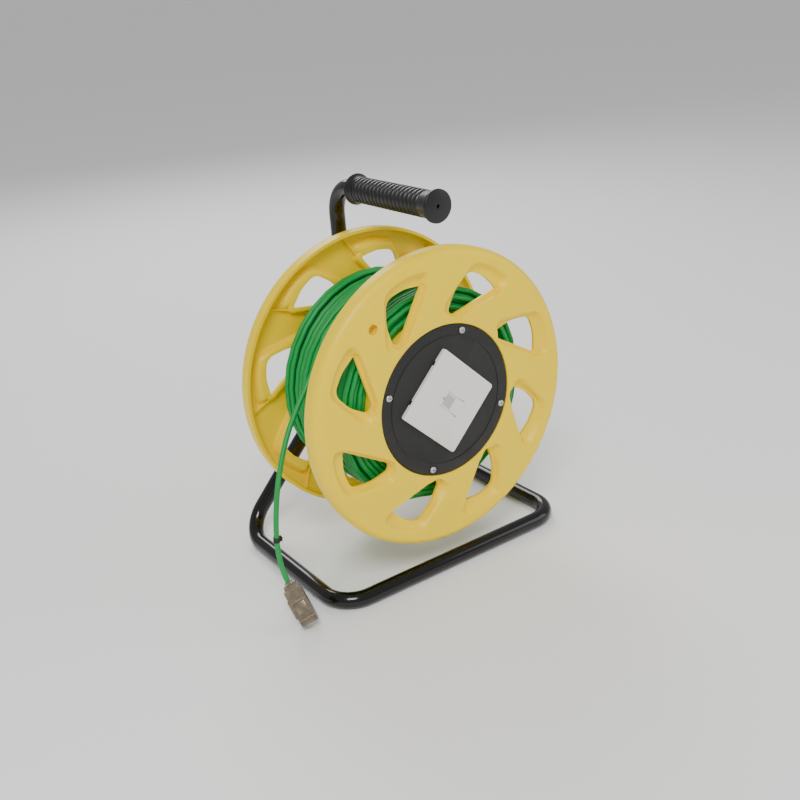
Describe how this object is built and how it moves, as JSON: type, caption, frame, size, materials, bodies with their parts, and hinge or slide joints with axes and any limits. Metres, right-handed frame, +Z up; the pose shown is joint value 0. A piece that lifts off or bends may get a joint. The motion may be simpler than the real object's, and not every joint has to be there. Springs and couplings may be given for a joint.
{
  "type": "portable network cable reel",
  "caption": "Portable network cable reel: moulded spool with wound cable, front wall outlet and hinged dust flap, turning on a bent-tube stand with a carrying grip.",
  "frame": {"origin": "on the floor, under the middle of the stand's footprint", "axes": "+X to the right seen from the front, +Y to the back, +Z up; the outlet faces -Y"},
  "size_m": [0.3297, 0.2048, 0.376],
  "materials": {
    "stand_black": "gloss black enamel",
    "grip_rubber": "satin",
    "steel": "zinc plated",
    "cable_green": "satin sheath",
    "band_black": "matte",
    "jack_metal": "cast, satin",
    "gold": "plated",
    "cover_white": "satin",
    "clear": "clear plastic",
    "spool_yellow": "moulded, satin gloss",
    "disc_black": "satin",
    "bush_white": "matte"
  },
  "bodies": {
    "stand": {"base_tube": "stand_black", "handle_tube": "stand_black", "handle_grip": "grip_rubber", "axle": "steel", "axle_saddle": "stand_black", "axle_thrust_washer": "steel", "axle_end_washer": "steel", "axle_circlip": "steel", "axle_rear_washer": "steel", "axle_nut": "steel", "cable_tail": "cable_green", "cable_band": "band_black", "tail_jack": "jack_metal", "tail_jack_contacts": "gold", "tail_jack_cap": "jack_metal", "tail_jack_clip": "jack_metal"},
    "spool": {"front_flange": "spool_yellow", "rear_flange": "spool_yellow", "drum_barrel": "spool_yellow", "front_flange_screws": "steel", "rear_flange_screws": "steel", "bearing_disc": "disc_black", "bearing_disc_screws": "steel", "rear_bush": "bush_white", "front_bush": "bush_white", "carrier_disc": "disc_black", "carrier_screws": "steel", "outlet_support": "steel", "outlet_screws": "steel", "outlet_cover": "cover_white", "flap_pin": "steel", "flap_spring": "steel", "outlet_jack": "jack_metal", "outlet_jack_contacts": "gold", "outlet_jack_cap": "jack_metal", "cable_grommet": "band_black", "inner_lead": "cable_green", "wound_cable": "cable_green"},
    "flap": {"dust_flap": "cover_white", "flap_window": "clear"}
  },
  "joints": [
    {"name": "drum_spin", "type": "hinge", "parent": "stand", "child": "spool", "pos_m": [0, -0.0265, 0.177], "axis": [0, 1, 0], "continuous": true},
    {"name": "flap_hinge", "type": "hinge", "parent": "spool", "child": "flap", "pos_m": [-0.0059, -0.0981, 0.1827], "axis": [-0.6947, 0, -0.7193], "range_deg": [0, 90], "stiffness_Nm_per_rad": 0.002, "springref_deg": -28.65}
  ]
}
